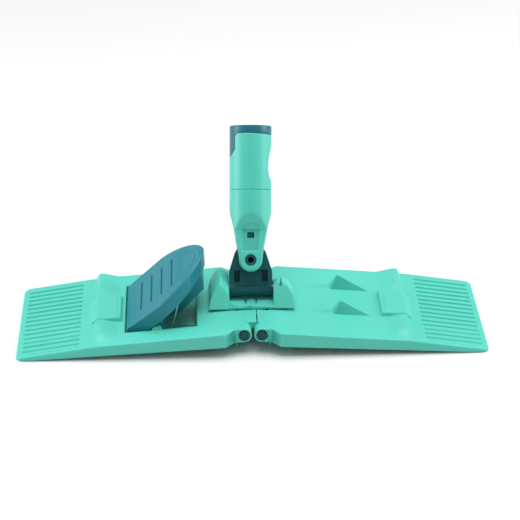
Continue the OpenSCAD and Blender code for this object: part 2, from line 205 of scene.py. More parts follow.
def piece(name, parts, crease=32, solid=True):
    """One object from several parts in millimetres: the faces of solid ones turned outward, smooth
    shading broken where two faces meet at more than crease degrees."""
    points, faces, start = [], [], 0
    for part_points, part_faces in parts:
        part_faces = outward(part_points, part_faces) if solid else part_faces
        points.append(part_points)
        faces += [[i + start for i in face] for face in part_faces]
        start += len(part_points)
    mesh = bpy.data.meshes.new(name)
    mesh.from_pydata((np.concatenate(points) / 1000).tolist(), [], faces)
    work = bmesh.new()
    work.from_mesh(mesh)
    bmesh.ops.remove_doubles(work, verts=work.verts, dist=1e-6)
    bmesh.ops.dissolve_degenerate(work, edges=work.edges, dist=1e-7)
    work.to_mesh(mesh)
    work.free()
    mesh.shade_smooth()
    mesh.set_sharp_from_angle(angle=math.radians(crease))
    made = bpy.data.objects.new(name, mesh)
    bpy.context.scene.collection.objects.link(made)
    return made


class Value:
    """A socket that can be written in sums: each operator adds the Math node that works it out."""

    def __init__(self, tree, socket):
        self.tree, self.socket = tree, socket

    def node(self, kind, settings=None, out=0, **sockets):
        """Adds a node of any kind: settings first, then its sockets' values or links, by name or,
        as i0 and i1, by number."""
        made = self.tree.nodes.new(kind)
        for key, value in (settings or {}).items():
            setattr(made, key, value)
        for key, value in sockets.items():
            numbered = key[0] == "i" and key[1:].isdigit()
            target = made.inputs[int(key[1:]) if numbered else key.replace("_", " ")]
            if isinstance(value, Value):
                self.tree.links.new(value.socket, target)
            else:
                target.default_value = value
        return Value(self.tree, made.outputs[out])

    def _math(self, operation, a, b):
        return self.node("ShaderNodeMath", {"operation": operation}, i0=a, i1=b)

    def __add__(self, other):
        return self._math("ADD", self, other)

    def __radd__(self, other):
        return self._math("ADD", other, self)

    def __sub__(self, other):
        return self._math("SUBTRACT", self, other)

    def __rsub__(self, other):
        return self._math("SUBTRACT", other, self)

    def __mul__(self, other):
        return self._math("MULTIPLY", self, other)

    def __rmul__(self, other):
        return self._math("MULTIPLY", other, self)

    def band(self, low, high):
        """0 at low, 1 at high, held at both ends."""
        return self.node("ShaderNodeMapRange", {"clamp": True}, Value=self, From_Min=low, From_Max=high)

    def mix(self, first, second):
        """Colour that goes from first to second as this value goes from 0 to 1."""
        return self.node("ShaderNodeMix", {"data_type": "RGBA"}, out=2, i0=self, i6=first, i7=second)


def new_material(name):
    """An empty node material: returns it, its shader node and the object's own coordinates."""
    material = bpy.data.materials.new(name)
    material.use_nodes = True
    tree = material.node_tree
    shader = tree.nodes["Principled BSDF"]
    place = tree.nodes.new("ShaderNodeTexCoord").outputs["Object"]
    return material, shader, Value(tree, place)


def plug(shader, **sockets):
    """Sets a shader's sockets by name, linking values and writing numbers and colours."""
    for key, value in sockets.items():
        target = shader.inputs[key.replace("_", " ")]
        if isinstance(value, Value):
            value.tree.links.new(value.socket, target)
        else:
            target.default_value = value


def moulded_plastic(name, colour, shade, rough, shine=0.45):
    """Satin moulded plastic: colour drifts a little towards shade where the melt flowed unevenly,
    a fine spark-eroded grain lifts the surface, and faint handling scuffs change the gloss."""
    material, shader, place = new_material(name)
    flow = place.node("ShaderNodeTexNoise", Vector=place, Scale=9.0, Detail=3.0, Roughness=0.5)
    grain_noise = place.node("ShaderNodeTexNoise", Vector=place, Scale=1500.0, Detail=2.0)
    patch = place.node("ShaderNodeTexNoise", Vector=place, Scale=38.0, Detail=4.0, Roughness=0.65)
    streak = place.node("ShaderNodeMapping", Vector=place, Scale=(60.0, 900.0, 300.0),
                        Rotation=(0.0, 0.0, 0.5))
    scuff = place.node("ShaderNodeTexNoise", Vector=streak, Scale=1.0, Detail=2.0).band(0.68, 0.78)
    scuff = scuff * patch.band(0.5, 0.72)
    speck = place.node("ShaderNodeTexVoronoi", Vector=place, Scale=420.0)
    bump = place.node("ShaderNodeBump", Strength=0.22, Distance=0.0004,
                      Height=grain_noise + speck * 0.35 - scuff * 0.4)
    tint = flow.band(0.3, 0.7).mix((*colour, 1), (*shade, 1))
    tint = (scuff * 0.10).mix(tint, (0.75, 0.85, 0.83, 1))
    plug(shader, Base_Color=tint, Roughness=rough + (patch - 0.5) * 0.10 + scuff * 0.07,
         Normal=bump, IOR=1.49, Specular_IOR_Level=shine, Subsurface_Weight=0.06,
         Subsurface_Radius=(0.002, 0.004, 0.004), Subsurface_Scale=0.6)
    return material


turquoise = moulded_plastic("turquoise_polypropylene", (0.093, 0.605, 0.492), (0.083, 0.575, 0.465),
                            0.40)

wing_x = stations((-3.85, 4.2, 1.0), (4.2, PIN_X, 1.8), (PIN_X, 14.8, 1.2), (14.8, 27, 0.9),
                  (27, 116, 3.6), (116, 147, 0.75), (147, 153, 1.4), (153, 156, 0.6), (156, 199, 4.2),
                  (199, 205, 0.6), (205, 209, 0.8), (209, 210, 0.25))
wing_s = stations((-66, -64.4, 0.3), (-64.4, 64.4, 0.66), (64.4, 66, 0.3))
ROOT_LINES = (-58, -55.7, -46.1, -28.3, -22.9, 22.9, 28.3, 46.1, 55.7, 58)
RIB_LINES = {1: ((37, 62, 87, 112, 129, 146, 166), (-44, -22, 0, 22, 44)),
             -1: ((37, 118, 146, 166), (-56, -34, -11.5, 11.5, 34, 56))}
WINDOW = (49.3, 113.5, 44.6)
WEB = 1.8


def wing_grid(side):
    """The wing's grid lines, with a pair beside every rib, knuckle end and window edge."""
    rib_x, rib_y = RIB_LINES[side]
    beside_rib = (-RIB_HALF - 0.03, -RIB_HALF + 0.03, RIB_HALF - 0.03, RIB_HALF + 0.03)
    x = [r + o for r in rib_x for o in beside_rib] + [14.8, 186]
    s = [r + o for r in rib_y for o in beside_rib] + list(ROOT_LINES)
    if side < 0:
        rim = (0, 0.04, 0.25, 0.5, 0.9, WALL, WALL + 0.05)
        x += [WINDOW[0] - o for o in rim] + [WINDOW[1] + o for o in rim]
        s += [k * (WINDOW[2] + o) for k in (-1, 1) for o in rim]
    return (np.unique(np.round(np.concatenate([wing_x, x]), 3)),
            np.unique(np.round(np.concatenate([wing_s, s]), 3)))


def wing_shell(side, finger):
    """The wing as a slab of two height fields, its inner end stepped for knuckles and finger."""
    xs, ss = wing_grid(side)
    x, s = np.meshgrid(xs, ss, indexing="ij")
    y = np.where(np.abs(s) < 50, s, np.sign(s) * (50 + (np.abs(s) - 50) * (half_width(x) - 50) / 16))
    y = np.where(x < 14.9, s, y)
    top = wing_top(x, y)
    low = ribbed_underside(x, y, *RIB_LINES[side])
    tongue = (np.abs(y) > 22.95) & (np.abs(y) < 46.15) & (x < PIN_X)
    low = np.where(tongue, np.where(np.abs(y) < 28.25, 12.2, 7.1), low)
    middle, depth = (x[:-1, :-1] + x[1:, 1:]) / 2, (y[:-1, :-1] + y[1:, 1:]) / 2
    across = np.abs(depth)
    keep = (middle > 14.8) | ((across > 22.9) & (across < np.where(middle > PIN_X, 55.7, 46.1)))
    keep &= middle > np.where(depth * finger > 0, -3.9, 4.2)
    if side < 0:
        rim = np.maximum(np.maximum(WINDOW[0] - x, x - WINDOW[1]), np.abs(y) - WINDOW[2])
        top = top - fillet(np.maximum(rim, 0), 0.9) * (rim > -0.1)
        low = np.where((rim < WALL + 0.02) & (rim > 0.02), 0, low)
        window = (x > WINDOW[0] - 0.01) & (x < WINDOW[1] + 0.01) & (np.abs(y) < WINDOW[2] + 0.01)
        top, low = np.where(window, WEB, top), np.where(window, 0, low)
    return slab(wing_place(np.stack([x, y, top], -1), side),
                wing_place(np.stack([x, y, low], -1), side), keep)


def ring_of(outer, loop, place, side, notch=None):
    """Closed ring about the pin: outer gives the outline's radius by angle, loop the section as
    (inset from the outline, or radius where the third value is 0, and y)."""
    angle, radius = outer
    inset = np.array([p[0] for p in loop])[None, :]
    follows = np.array([p[2] for p in loop])[None, :] > 0
    free = 1 - ease((np.cos(angle) - 0.728) / 0.01)[:, None]
    r = np.where(follows, radius[:, None] - inset * free, inset)
    y = np.broadcast_to(np.array([p[1] for p in loop])[None, :], r.shape)
    x, z = PIN_X + r * np.cos(angle)[:, None], PIN_Z + r * np.sin(angle)[:, None]
    if notch:
        x = np.where((z > 6.5) & (y < 46.15), np.maximum(x, 4.2), x)
    return tube(wing_place(np.stack([x, place * y, z], -1), side), closed=True)


def barrel(side, end, notch):
    """One knuckle in two rings about the pin: a round barrel with its top and bottom cut level,
    notched where the other wing's finger crosses, and an end ring that is square toward its own
    wing, with a softened face and a counterbore for the pin's head or clip."""
    corner = math.atan2(6.6, 6.94)
    low_corner = math.atan2(6.7, 6.94)
    a = np.sort(np.concatenate([np.radians(np.arange(0, 360, 4.0)), [corner, 2 * math.pi - low_corner]]))
    level = np.where(np.sin(a) > 0, 6.58, 6.7) / np.maximum(np.abs(np.sin(a)), 1e-6)
    round_one = np.minimum(level, 6.85)
    square = np.minimum(level + 0.02, np.where(np.cos(a) > 0, 6.94 / np.maximum(np.cos(a), 1e-6), 6.85))
    bore, sink, far, edge = 3.03, 5.3, KNUCKLE_Y, 0.7
    inner = [(bore, 55.8, 0), (bore, 28.3, 0)]
    first = ring_of((a, round_one), [(0.15, 28.3, 1), (0, 28.5, 1), (0, 46.1, 1), (0, 46.2, 1),
                                     (0, 55.8, 1)] + inner, end, side, notch)
    soft = [(edge - edge * math.cos(t), far - edge + edge * math.sin(t), 1)
            for t in np.linspace(0, math.pi / 2, 6)]
    second = ring_of((a, square), [(0, 55.6, 1)] + soft +
                     [(sink + 0.35, far, 0), (sink, far - 0.35, 0), (sink, far - 2.3, 0),
                      (bore, far - 2.3, 0), (bore, 55.6, 0)], end, side)
    return [first, second]


def bar(outline, y0, y1, edge=0.4):
    """Prism along y over a closed outline of (x, z), its two ends rounded over by edge."""
    p = np.array(outline, float)
    step = np.roll(p, -1, 0) - p
    normal = np.stack([step[:, 1], -step[:, 0]], 1) / np.hypot(*step.T)[:, None]
    area = 0.5 * np.sum(p[:, 0] * np.roll(p, -1, 0)[:, 1] - np.roll(p, -1, 0)[:, 0] * p[:, 1])
    corner = (normal + np.roll(normal, 1, 0)) * (1 if area > 0 else -1)
    corner /= np.maximum(np.sum(corner ** 2, 1, keepdims=True) / 2, 0.35)
    rows = [(edge * (1 - math.sin(t)), edge * (1 - math.cos(t))) for t in np.linspace(0, math.pi / 2, 4)]
    rows = [(y0 + a, b) for b, a in rows] + [(y1 - a, b) for b, a in rows[::-1]]
    return tube(np.stack([np.stack([p[:, 0] - corner[:, 0] * inset, np.full(len(p), y),
                                    p[:, 1] - corner[:, 1] * inset], -1) for y, inset in rows]))


def gear_outline(half_tooth):
    """Hub circle of radius 6.5 with stub teeth of 14 to the circle on the side facing the centre."""
    a = np.radians(np.arange(0, 360, 1.5))
    step = 2 * math.pi / 14
    count = 5 if half_tooth else 4
    along = (a - math.pi) / step + (0 if half_tooth else 0.5)
    near = np.round(along)
    off = np.abs(along - near) * step * PIN_X
    tooth = (near >= 0) & (near < count)
    r = 6.5 + 2.1 * ease((1.15 - off) / 0.6) * tooth
    return np.stack([PIN_X + r * np.cos(a), PIN_Z + r * np.sin(a)], -1)


def root(side, finger):
    """The wing's two knuckles and two gear sectors."""
    parts = []
    for end in (-1, 1):
        parts += barrel(side, end, notch=end != finger)
        points, faces = bar(gear_outline(side > 0), min(end * 23.2, end * 28), max(end * 23.2, end * 28))
        parts.append((wing_place(points, side), faces))
    return parts


def gusset(side, y, x0, x1, apex_x, apex_z):
    """Pointed gusset: the plan outline shrinks towards the apex as it climbs, and every ring of it
    keeps 0.7 mm round corners, so the faces meet in soft edges and a round point."""
    corners = np.array([(x0, y - 3.2), (x1, y - 3.2), (x1, y - 2.2), (x0, y + 9)])
    apex = np.array([apex_x, y])
    step = np.roll(corners, -1, 0) - corners
    turn = np.arctan2(-step[:, 0], step[:, 1])
    v = np.concatenate([np.linspace(0, 0.93, 16), 0.93 + 0.07 * np.sin(np.linspace(0.3, 1.5, 5))])
    soft = np.concatenate([np.full(16, 0.7), 0.7 * np.cos(np.linspace(0.3, 1.5, 5))])
    rings = []
    for k in range(4):
        a = turn[k - 1] + ((turn[k] - turn[k - 1] + math.pi) % (2 * math.pi) - math.pi) * np.linspace(0, 1, 5)
        flat = corners[k] + (apex - corners[k]) * v[:, None]
        rings.append(flat[:, None] + soft[:, None, None] * np.stack([np.cos(a), np.sin(a)], -1))
    plan = np.concatenate(rings, 1)
    z = 8.5 + (apex_z - 8.5) * (0.9 * v + 0.1 * v * v)
    points = np.concatenate([plan, np.broadcast_to(z[:, None, None], plan.shape[:2] + (1,))], -1)
    return tube(wing_place(points, side))


right_wing = piece("right_wing_moulding", [wing_shell(1, 1)] + root(1, 1) +
                   [gusset(1, 28, 72.5, 112.5, 79.7, 24.8), gusset(1, -20, 72.5, 111, 79.3, 23.6)])
right_wing.data.materials.append(turquoise)
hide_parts("right_wing")
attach(right_wing, "right_wing")


# ---- Left wing ---------------------------------------------------------------------------------
# The other side of the plate, from the same kind of tool: a rectangular window over a thin web lets
# the pedal sink in, and two bearing blocks inside the window's walls hold its steel axle.

def rounded_block(x0, x1, z0, z1, r):
    """Outline of a block standing on z0, its two upper corners rounded by r."""
    a = np.linspace(0, math.pi / 2, 6)
    right = [(x1 - r + r * math.cos(t), z1 - r + r * math.sin(t)) for t in a]
    left = [(x0 + r - r * math.sin(t), z1 - r + r * math.cos(t)) for t in a]
    return [(x0, z0), (x1, z0)] + right + left


parts = [wing_shell(-1, -1)] + root(-1, -1)
for y0, y1 in ((-45, -40), (40, 45)):
    points, faces = bar(rounded_block(80.5, 89.5, 0.3, 13.4, 3.2), y0, y1, 0.5)
    parts.append((wing_place(points, -1), faces))
left_wing = piece("left_wing_moulding", parts)
left_wing.data.materials.append(turquoise)
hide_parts("left_wing")
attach(left_wing, "left_wing")


# ---- Hinge pins --------------------------------------------------------------------------------
# Two petrol acetal pins, one in each wing's knuckles. Each is turned with a dished round head that
# sits in the front counterbore, and a steel push-on ring holds its far end.

def centre_place(points):
    """Moves points given about the mop's middle, on the flat underside, to their place."""
    pin = np.array(joints["right_wing_fold"]["pos_m"]) * 1000
    return points + np.array([0, pin[1], pin[2] - PIN_Z])


def turned(profile, steps, axis="y"):
    """Closed solid turned from a profile of (radius, along), about the y axis or another."""
    a = np.linspace(0, 2 * math.pi, steps, endpoint=False)[:, None]
    p = np.array(profile, float)[None]
    r, along = p[..., 0], np.broadcast_to(p[..., 1], (steps, len(profile)))
    u, v = r * np.cos(a), r * np.sin(a)
    order = {"x": (along, u, v), "y": (u, along, v), "z": (u, v, along)}[axis]
    return np.stack(order, -1)


pin_plastic = moulded_plastic("petrol_acetal", (0.010, 0.085, 0.11), (0.008, 0.07, 0.09), 0.5, shine=0.3)
head = [(0, -57.75), (3.1, -57.75), (3.3, -58.05), (3.7, -58.2), (4.0, -58.1), (4.15, -57.8), (4.15, -55.85),
        (3.0, -55.85), (3.0, 57.2), (2.7, 57.6), (0, 57.6)]
for name, side in (("left_hinge_pin", -1), ("right_hinge_pin", 1)):
    points, faces = tube(turned(head, 64) + [side * PIN_X, 0, PIN_Z], closed=True)
    pin = piece(name + "_turned", [(centre_place(points), faces)])
    pin.data.materials.append(pin_plastic)
    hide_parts(name)
    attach(pin, "centre")


# ---- Pedal -------------------------------------------------------------------------------------
# A foot plate of petrol-blue polypropylene with a full round toe. Its skirt drops straight down
# from the edge, four shallow grooves and a curved lip give grip, and a hollow latch tongue below
# hooks on the bracket. It turns on a steel axle through two lugs.

HEEL_X, HEEL_Z, TILT = 112.7, 11.5, math.radians(37)


def pedal_place(s, y, n):
    """Puts (distance up the pedal from its heel, y, height off its face) into the left wing."""
    x = HEEL_X - s * math.cos(TILT) + n * math.sin(TILT)
    return np.stack([x, y, HEEL_Z + s * math.sin(TILT) + n * math.cos(TILT)], -1)


def pedal_half(s):
    """Half width: it grows a little to s = 41, then follows a superellipse of power 1.65."""
    toe = np.clip((s - 41) / 50, 0, 1)
    return np.where(s < 41, 40.5 + 5.5 * s / 41, 46 * (1 - toe ** 1.65) ** (1 / 1.65))


def pedal_edge(s, y):
    """Distance in from the outline: exact at the sides, first order round the toe."""
    toe = np.clip((s - 41) / 50, 0, 1.2)
    level = toe ** 1.65 + (np.abs(y) / 46) ** 1.65
    slope = 1.65 * np.hypot(toe ** 0.65 / 50, (np.abs(y) / 46 + 1e-9) ** 0.65 / 46)
    return np.minimum(np.where(s < 41, pedal_half(s) - np.abs(y), (1 - level) / np.maximum(slope, 0.012)), s)


def pedal_face(s, y):
    """Height of the finished face: rounded edge, four grooves, and a lip round the toe with a
    shallow dish inside it."""
    edge = pedal_edge(s, y)
    n = -fillet(edge, 2.2) * 0.8
    for at in (18, 30, 42, 54):
        off = np.hypot(s - at, np.maximum(np.abs(y) - 25, 0))
        n = n - 1.6 * ease((1.15 - off) / 0.55)
    toe = ease((s - 58) / 10)
    n = n + 0.9 * np.exp(-((edge - 11.5) / 1.3) ** 2) * toe
    return n - 1.0 * toe * ease((edge - 7) / 3)


turn = np.linspace(0, math.pi / 2, 60)
fine = np.arange(-1.6, 1.61, 0.2)
toe_s = 41 + 49.97 * np.sin(turn) ** (2 / 1.65)
pedal_s = np.concatenate([[0, 0.25, 0.6, 1.1, 1.8, 2.4, 2.5], np.arange(3.5, 58, 1.1), toe_s[toe_s > 58.5]])
for at in (18, 30, 42, 54):
    pedal_s = np.concatenate([pedal_s[np.abs(pedal_s - at) > 1.7], at + fine])
pedal_s = np.sort(pedal_s)
pedal_v = np.concatenate([-1 + (1 - np.cos(np.linspace(0, 1.2, 14))) * 0.2, np.linspace(-0.86, 0.86, 110),
                          1 - (1 - np.cos(np.linspace(1.2, 0, 14))) * 0.2])
s, v = np.meshgrid(pedal_s, pedal_v, indexing="ij")
y = v * np.maximum(pedal_half(s), 0.6)
face = pedal_face(s, y)
top = pedal_place(s, y, face)
low = pedal_place(s, y, np.full(s.shape, -2.0))
rim = 1 - ease((pedal_edge(s, y) - 2.2) / 0.5)
foot = np.maximum(pedal_place(s, y, 0 * s)[..., 2] - 15.03, 4)
low[..., 0] = low[..., 0] + (top[..., 0] - low[..., 0]) * rim
low[..., 2] = low[..., 2] + (np.minimum(foot, top[..., 2] - 0.5) - low[..., 2]) * rim
parts = [slab(wing_place(top, -1), wing_place(low, -1), np.ones((s.shape[0] - 1, s.shape[1] - 1), bool))]


def under_pedal(x):
    """Height in the wing of the pedal plate's underside at x."""
    return HEEL_Z + (HEEL_X - x) * math.tan(TILT) - 2 / math.cos(TILT)


tongue = [(41.2, 34), (41.2, 43), (46, under_pedal(46)), (90, under_pedal(90)), (86, 17), (79, 11.5),
          (68, 10), (64, 11.6)]
points, faces = bar(tongue, -17, 17, 1.0)
parts.append((wing_place(points, -1), faces))
half_turn = np.linspace(0, -math.pi, 20)
lug = [(78, under_pedal(78) + 0.5), (93, under_pedal(93) + 0.5)]
lug += [(85 + 5.8 * math.cos(t), 8 + 5.8 * math.sin(t)) for t in half_turn] + [(79.2, 18), (78, 20)]
for y0 in (-39.5, 34):
    points, faces = bar(lug, y0, y0 + 5.5, 0.6)
    parts.append((wing_place(points, -1), faces))
petrol = moulded_plastic("petrol_polypropylene", (0.009, 0.215, 0.268), (0.007, 0.198, 0.245), 0.40)
pedal = piece("pedal_moulding", parts)
pedal.data.materials.append(petrol)
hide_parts("pedal")
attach(pedal, "pedal")


# ---- Joint bracket -----------------------------------------------------------------------------
# Turquoise carrier screwed to the centre link: a slotted cradle floor behind a front lip, between
# two ears that hold the yoke's axle. The left ear stands taller, where the pedal latches.

def lean(x):
    """Slope of the front face: steep under the lip, then 54 degrees up the two ears."""
    return 1.38 + 1.0 * ease((19.5 - np.abs(x)) / 6)


def ears(x, y):
    """Height of both ears: a plane that leans back cuts their fronts. The right ear is a saddle,
    an arch in x over a dome in y about the axle; the left one is a tall quarter round."""
    front = 14.3 + (y + 22) * lean(x)
    dome = 23.9 + np.sqrt(np.maximum(9.8 ** 2 - np.maximum(y, 0) ** 2, 30)) - np.maximum(y - 8, 0) * 0.75
    arch = dome - 0.08 * (x - 26.5) ** 2
    right = (front + arch - np.sqrt((front - arch) ** 2 + 0.5)) / 2
    tall = np.interp(y, [-22, -12, 0, 11, 15, 22], [27.5, 30.8, 35.4, 38.0, 37.4, 24])
    reach = np.clip((-x - 25.8) / 12.1, 0, 1)
    outer = 14 + (tall - 14) * np.sqrt(1 - reach ** 2)
    inner = tall - np.maximum(x + 28.3, 0) ** 1.5 * 0.22
    left = np.minimum(np.minimum(front, outer), inner)
    return np.where(x > 0, right, left)


def bracket_top(x, y):
    """Ears outside x = 19.9; between them the floor at 15.6 and a low lip that sweeps up into the
    left ear, with a small bump and two slots in the floor."""
    front = 14.3 + (y + 22) * lean(x)
    crest = 17.3 + 10.3 * ease((-x - 12.5) / 10) ** 1.5
    back = crest - np.maximum(y + 20.4, 0) * (1.7 + 0.2 * ease((-x - 13) / 6.5))
    cradle = np.maximum(np.minimum(np.minimum(front, crest), back), 15.6)
    cradle = cradle - 0.5 * np.exp(-((front - crest) / 1.2) ** 2)
    cradle = cradle + 0.7 * ease((1.6 - np.hypot(x, (y + 7) * 0.75)) / 0.8)
    slots = (np.minimum(np.abs(x + 5), np.abs(x - 4.5)) < 1) & (y > -15) & (y < 9)
    cradle = np.where(slots, 13.75, cradle)
    z = np.where(np.abs(x) < 19.9, cradle, ears(x, y))
    z = z - 1.1 * fillet(38.8 - np.abs(x), 1.3)
    inside = np.abs(np.abs(x) - 19.9)
    z = z - fillet(inside, 0.8) * (np.abs(x) > 19.88)
    slot = (x > 24.3) & (x < 27.5) & (y > -10)
    return np.maximum(np.where(slot, np.minimum(z, 17), z), 13.75)


half = [0, 0.5, 1.2, 3.4, 3.46, 3.5, 5.5, 5.54, 8, 11, 14, 15.4, 16, 16.6, 17.2, 17.8, 18.4, 19, 19.5, 19.87,
        19.93, 20.1, 20.4, 20.7, 21.4, 22.2, 23, 23.2, 24.26, 24.34, 25.2, 26.4, 27.46, 27.54]
half += list(np.arange(27.8, 37.4, 0.55)) + [37.5, 37.8, 38.1, 38.4, 38.6, 38.74, 38.8]
bx = np.unique(np.round(np.concatenate([half, [-h for h in half], [-6, -5.96, -4.04, -4, 4.04, 5.46]]), 3))
by = np.unique(np.concatenate([[-22, -21.9, -21.7, -21.4], np.arange(-21, -16, 0.3),
                               [-15.04, -14.96, -10.04, -9.96, 8.96, 9.04],
                               np.arange(-16, 20.5, 0.6), [20.7, 21.1, 21.5, 21.8, 22]]))
x, y = np.meshgrid(bx, by, indexing="ij")
low = np.full(x.shape, 13.7)
low = np.where((x > 12) & (y < -19) & (x < 37), 14.1, low)
parts = [slab(centre_place(np.stack([x, y, bracket_top(x, y)], -1)),
              centre_place(np.stack([x, y, low], -1)), np.ones((len(bx) - 1, len(by) - 1), bool))]
for at in (-14, 14):
    post = turned([(0, 9.1), (2.8, 9.1), (3.2, 9.5), (3.2, 14), (0, 14)], 32, "z")
    points, faces = tube(post + [0, at, 0], closed=True)
    parts.append((centre_place(points), faces))
points, faces = bar(rounded_block(-3, 1, 14, 18, 0.8), -22.9, -21.5, 0.3)
parts.append((centre_place(points), faces))
bracket = piece("bracket_moulding", parts)
bracket.data.materials.append(turquoise)
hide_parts("joint_bracket")
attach(bracket, "centre")


# ---- Yoke --------------------------------------------------------------------------------------
# Dark petrol trestle, glass-filled nylon, that rocks fore and aft on the steel axle between the
# ears. Both faces have a shallow recessed panel, and it carries the swivel pin in its top.

LEAN = math.radians(27)
PIN_T = 25.2


def handle_place(x, depth, t):
    """Puts (x, depth toward the front, distance t up the handle from the yoke's axle) in place."""
    axle = np.array(joints["yoke_tilt"]["pos_m"]) * 1000
    y = t * math.sin(LEAN) - depth * math.cos(LEAN)
    z = t * math.cos(LEAN) + depth * math.sin(LEAN)
    return np.stack([axle[0] + x, axle[1] + y, axle[2] + z], -1)


def box_inside(x, t, half_w, t0, t1, r=1.0):
    """Distance inside a rectangle with corners of radius r, positive inside it."""
    qx, qt = np.abs(x) - (half_w - r), np.abs(t - (t0 + t1) / 2) - ((t1 - t0) / 2 - r)
    return r - np.hypot(np.maximum(qx, 0), np.maximum(qt, 0)) - np.minimum(np.maximum(qx, qt), 0)


def yoke_half(t):
    """Half width: straight legs to 15, a slant to the round top of radius 15.5 about the pin."""
    slant = 19.4 - (t - 15) * (19.4 - 14.05) / 16.75
    top = np.sqrt(np.maximum(15.5 ** 2 - (t - PIN_T) ** 2, 0))
    return np.where(t < 15, 19.4, np.where(t < 31.75, slant, top))


def yoke_face(x, t):
    """Half thickness: 7.2, less a rounded outline, the recess, and the two deep side pockets."""
    edge = np.minimum(yoke_half(t) - np.abs(x), 40.7 - t)
    d = 7.2 - 0.9 * fillet(edge, 1.2)
    d = d - 2.2 * ease(box_inside(x, t, 15.2, 0.8, 16.1, 4.2) / 0.5)
    d = np.minimum(d, np.where(t < 0.4, np.sqrt(np.maximum(7.6 ** 2 - t ** 2, 0)) + 0.2, 9))
    well = ease((5.4 - np.hypot(x, t - PIN_T)) / 0.3)
    d = d - 6 * well
    pocket = np.minimum(np.minimum(np.abs(x) - 10.1, 15.1 - np.abs(x)), np.minimum(t - 5.6, 15.9 - t))
    return d - 4.4 * ease(pocket / 0.3) * (np.abs(x) > 10)


t_top = PIN_T + 15.5 * np.sin(np.linspace(0.4354, 1.555, 26))
yt = np.unique(np.round(np.concatenate([-7.58 * np.cos(np.linspace(0, 1.5, 14)), [0, 0.4],
                                        np.arange(0.8, 17, 0.3), np.arange(17, 19, 1),
                                        np.arange(19.2, 31.7, 0.5), t_top]), 3))
yv = np.unique(np.round(np.concatenate([np.linspace(-1, 1, 141), 1 - np.geomspace(0.001, 0.03, 5),
                                        np.geomspace(0.001, 0.03, 5) - 1]), 4))
t, v = np.meshgrid(yt, yv, indexing="ij")
x = v * np.maximum(yoke_half(t), 0.3)
d = yoke_face(x, t)
parts = [slab(handle_place(x, d, t), handle_place(x, -d, t), np.ones((len(yt) - 1, len(yv) - 1), bool))]
for x0, x1 in ((-19.4, -15.6), (15.6, 19.4)):
    ring = turned([(0, x0), (7.4, x0), (7.8, x0 + 0.4), (7.8, x1 - 0.4), (7.4, x1), (0, x1)], 64, "x")
    parts.append(tube(handle_place(ring[..., 0], ring[..., 1], ring[..., 2]), closed=True))
dark_petrol = moulded_plastic("dark_petrol_nylon", (0.002, 0.090, 0.100), (0.002, 0.078, 0.088), 0.46,
                              shine=0.3)
yoke = piece("yoke_moulding", parts)
yoke.data.materials.append(dark_petrol)
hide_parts("yoke")
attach(yoke, "yoke")


# ---- Yoke pin ----------------------------------------------------------------------------------
# Hollow pin of dark petrol nylon through the fork's tongues and the yoke: the socket swings about
# it. Its rim is rounded and its bore is blind at the back, where a steel clip holds it.

pin_loop = [(2.65, 1.8), (0, 1.8), (0, -12.2), (5.2, -12.2), (5.5, -11.9), (5.5, 12.1), (5.1, 12.55),
            (4.4, 12.6), (3.2, 12.5), (2.75, 12.2), (2.65, 11.6)]
ring = turned(pin_loop, 64)
points, faces = tube(handle_place(ring[..., 0], ring[..., 1], PIN_T + ring[..., 2]), closed=True)
yoke_pin = piece("yoke_pin_turned", [(points, faces)])
yoke_pin.data.materials.append(dark_petrol)
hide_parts("yoke_pin")
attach(yoke_pin, "yoke")


# ---- Socket fork -------------------------------------------------------------------------------
# Lower half of the handle's socket, turquoise polypropylene: round above, flattened below into a
# front and a back tongue that hold the swivel pin. The front has a scooped recess with a small
# square window. Distances t are from the swivel pin.

SWING = math.radians(1.15)


def socket_place(x, depth, t):
    """Puts a point of the socket in place: its frame starts at the swivel pin and leans a little
    to the right of the yoke's middle."""
    along = t * math.cos(SWING) - x * math.sin(SWING)
    return handle_place(x * math.cos(SWING) + t * math.sin(SWING), depth, PIN_T + along)


SLOT_TOP, SLOT_HALF = 19.4, 8.0


def fork_half(t):
    """Half width in front view: a round end of radius 10.7, then tapering out to the socket."""
    end = np.sqrt(np.maximum(10.7 ** 2 - np.minimum(t, 0) ** 2, 0))
    side = np.interp(t, [0, 9, 31, 43, 63], [10.7, 11.65, 15.7, 19, 19])
    return np.where(t < 0, end, side)


def fork_depth(x, t):
    """Half depth: flat at 12.5, flaring from t = 27 to the round of radius 19, edges softened."""
    flat = np.interp(t, [-11, 26, 28.5, 40, 42, 63], [12.5, 12.5, 13.2, 18.2, 19.6, 21])
    around = np.sqrt(np.maximum(19 ** 2 - x ** 2, 0))
    edge = np.minimum(fork_half(t) - np.abs(x), t + 10.7)
    flat = flat - fillet(edge, 2.6) * np.interp(t, [28, 42], [1, 0])
    blend = (flat + around - np.sqrt((flat - around) ** 2 + 0.6 * (t > 28))) / 2
    return blend - 0.5 * fillet(63 - t, 0.6)


def fork_recess(x, t):
    """Depth left at the recess: its floor stands at 11 and its upper edge arches where the floor
    meets the flaring front; the square window goes on down to 1 mm from the middle."""
    inside = box_inside(x, t, 9.4 - 0.035 * (28 - t), 6.8, 40, 1.2)
    arch = 1 - ((x / 9.6) ** 2 + (np.maximum(t - 27.5, 0) / 6) ** 2)
    scoop = 11.6 + np.maximum(t - 27.7, 0) * 0.58
    ring = np.hypot(x, t) - 7.6
    floor = 9.9 + 2.6 * (1 - ease(ring / 0.8))
    depth = np.where(t < 27.7, floor, scoop)
    cut = ease(np.minimum(inside / 2.1, np.where(t > 27.7, arch * 5, 9)))
    window = ease(box_inside(x, t, 3.15, 19.9, 25.1, 0.4) / 0.35)
    return depth - (depth - 1) * window, cut


